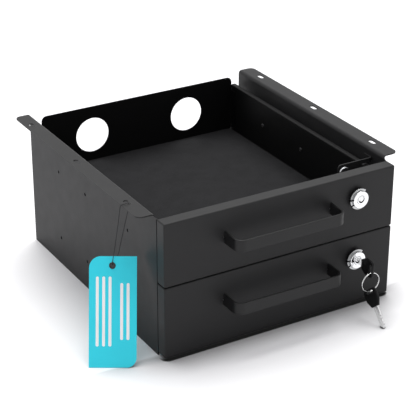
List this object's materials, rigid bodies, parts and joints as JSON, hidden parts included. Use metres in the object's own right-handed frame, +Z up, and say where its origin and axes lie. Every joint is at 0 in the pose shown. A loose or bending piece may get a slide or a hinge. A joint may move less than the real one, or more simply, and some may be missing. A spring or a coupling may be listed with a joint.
{
  "type": "under desk drawer safe",
  "caption": "Black steel under-desk safe: locking drawers on ball slides in a flanged cabinet, felt-lined, with strap handles, cam locks, keys and a swing tag.",
  "frame": {"origin": "centre of the cabinet's base, on the underside of the bottom pan", "axes": "+X right along the drawer fronts seen from the front, +Y from the fronts to the back, +Z up to the desk"},
  "size_m": [0.4505, 0.4542, 0.1959],
  "materials": {
    "black_coat": "satin black powder coat",
    "drawer_coat": "matt black powder coat",
    "liner_felt": "dark grey needle felt",
    "chrome": "bright chrome plate",
    "zinc": "bright zinc plate",
    "ball_steel": "oiled steel",
    "key_plastic": "moulded black plastic",
    "tag_card": "coated card, turquoise",
    "eyelet_paint": "black enamelled eyelet",
    "thread": "black waxed thread"
  },
  "bodies": {
    "cabinet": {"left_side_panel": "black_coat", "right_side_panel": "black_coat", "bottom_pan": "black_coat", "lower_keeper": "black_coat", "upper_keeper": "black_coat", "lower_left_slide_outer": "zinc", "lower_right_slide_outer": "zinc", "upper_left_slide_outer": "zinc", "upper_right_slide_outer": "zinc", "swing_tag": "tag_card", "tag_eyelet": "eyelet_paint", "tag_string": "thread"},
    "lower_drawer": {"lower_front_panel": "black_coat", "lower_drawer_tub": "drawer_coat", "lower_drawer_back": "drawer_coat", "lower_drawer_liner": "liner_felt", "lower_handle": "black_coat", "lower_lock_housing": "chrome", "lower_lock_collar": "chrome", "lower_lock_nut": "zinc", "lower_left_slide_inner": "zinc", "lower_right_slide_inner": "zinc"},
    "upper_drawer": {"upper_front_panel": "black_coat", "upper_drawer_tub": "drawer_coat", "upper_drawer_back": "drawer_coat", "upper_drawer_liner": "liner_felt", "upper_handle": "black_coat", "upper_lock_housing": "chrome", "upper_lock_collar": "chrome", "upper_lock_nut": "zinc", "upper_left_slide_inner": "zinc", "upper_right_slide_inner": "zinc"},
    "lower_slide_middles": {"lower_left_slide_middle": "zinc", "lower_right_slide_middle": "zinc"},
    "upper_slide_middles": {"upper_left_slide_middle": "zinc", "upper_right_slide_middle": "zinc"},
    "lower_outer_cages": {"lower_left_outer_ball_cage": "ball_steel", "lower_right_outer_ball_cage": "ball_steel"},
    "upper_outer_cages": {"upper_left_outer_ball_cage": "ball_steel", "upper_right_outer_ball_cage": "ball_steel"},
    "lower_inner_cages": {"lower_left_inner_ball_cage": "ball_steel", "lower_right_inner_ball_cage": "ball_steel"},
    "upper_inner_cages": {"upper_left_inner_ball_cage": "ball_steel", "upper_right_inner_ball_cage": "ball_steel"},
    "lower_lock": {"lower_lock_plug": "chrome", "lower_lock_cam": "zinc", "lower_cam_screw": "zinc"},
    "upper_lock": {"upper_lock_plug": "chrome", "upper_lock_cam": "zinc", "upper_cam_screw": "zinc"},
    "key": {"key_blade": "zinc", "key_bow": "key_plastic"},
    "ring": {"key_ring": "zinc"},
    "spare_key": {"spare_key_blade": "zinc", "spare_key_bow": "key_plastic"}
  },
  "joints": [
    {"name": "lower_drawer_slide", "type": "slide", "parent": "cabinet", "child": "lower_drawer", "axis": [0, -1, 0], "range_m": [0, 0.3]},
    {"name": "lower_middle_slide", "type": "slide", "parent": "cabinet", "child": "lower_slide_middles", "axis": [0, -1, 0], "range_m": [0, 0.15]},
    {"name": "lower_outer_cage_slide", "type": "slide", "parent": "cabinet", "child": "lower_outer_cages", "axis": [0, -1, 0], "range_m": [0, 0.075]},
    {"name": "lower_inner_cage_slide", "type": "slide", "parent": "cabinet", "child": "lower_inner_cages", "axis": [0, -1, 0], "range_m": [0, 0.225]},
    {"name": "upper_drawer_slide", "type": "slide", "parent": "cabinet", "child": "upper_drawer", "axis": [0, -1, 0], "range_m": [0, 0.3]},
    {"name": "upper_middle_slide", "type": "slide", "parent": "cabinet", "child": "upper_slide_middles", "axis": [0, -1, 0], "range_m": [0, 0.15]},
    {"name": "upper_outer_cage_slide", "type": "slide", "parent": "cabinet", "child": "upper_outer_cages", "axis": [0, -1, 0], "range_m": [0, 0.075]},
    {"name": "upper_inner_cage_slide", "type": "slide", "parent": "cabinet", "child": "upper_inner_cages", "axis": [0, -1, 0], "range_m": [0, 0.225]},
    {"name": "lower_lock_turn", "type": "hinge", "parent": "lower_drawer", "child": "lower_lock", "pos_m": [0.112, -0.2, 0.0703], "axis": [0, 1, 0], "range_deg": [0, 90]},
    {"name": "upper_lock_turn", "type": "hinge", "parent": "upper_drawer", "child": "upper_lock", "pos_m": [0.112, -0.2, 0.1576], "axis": [0, 1, 0], "range_deg": [0, 90]},
    {"name": "key_pull", "type": "slide", "parent": "lower_lock", "child": "key", "axis": [0, -1, 0], "range_m": [0, 0.03]},
    {"name": "ring_swing", "type": "hinge", "parent": "key", "child": "ring", "pos_m": [0.112, -0.2381, 0.065], "axis": [-1, 0, 0], "range_deg": [0, 75]},
    {"name": "spare_key_swing", "type": "hinge", "parent": "ring", "child": "spare_key", "pos_m": [0.112, -0.2381, 0.0386], "axis": [-1, 0, 0], "range_deg": [0, 50]}
  ],
  "couplings": [
    {"joint": "lower_middle_slide", "follows": "lower_drawer_slide", "ratio": 0.5},
    {"joint": "lower_outer_cage_slide", "follows": "lower_drawer_slide", "ratio": 0.25},
    {"joint": "lower_inner_cage_slide", "follows": "lower_drawer_slide", "ratio": 0.75},
    {"joint": "upper_middle_slide", "follows": "upper_drawer_slide", "ratio": 0.5},
    {"joint": "upper_outer_cage_slide", "follows": "upper_drawer_slide", "ratio": 0.25},
    {"joint": "upper_inner_cage_slide", "follows": "upper_drawer_slide", "ratio": 0.75}
  ]
}
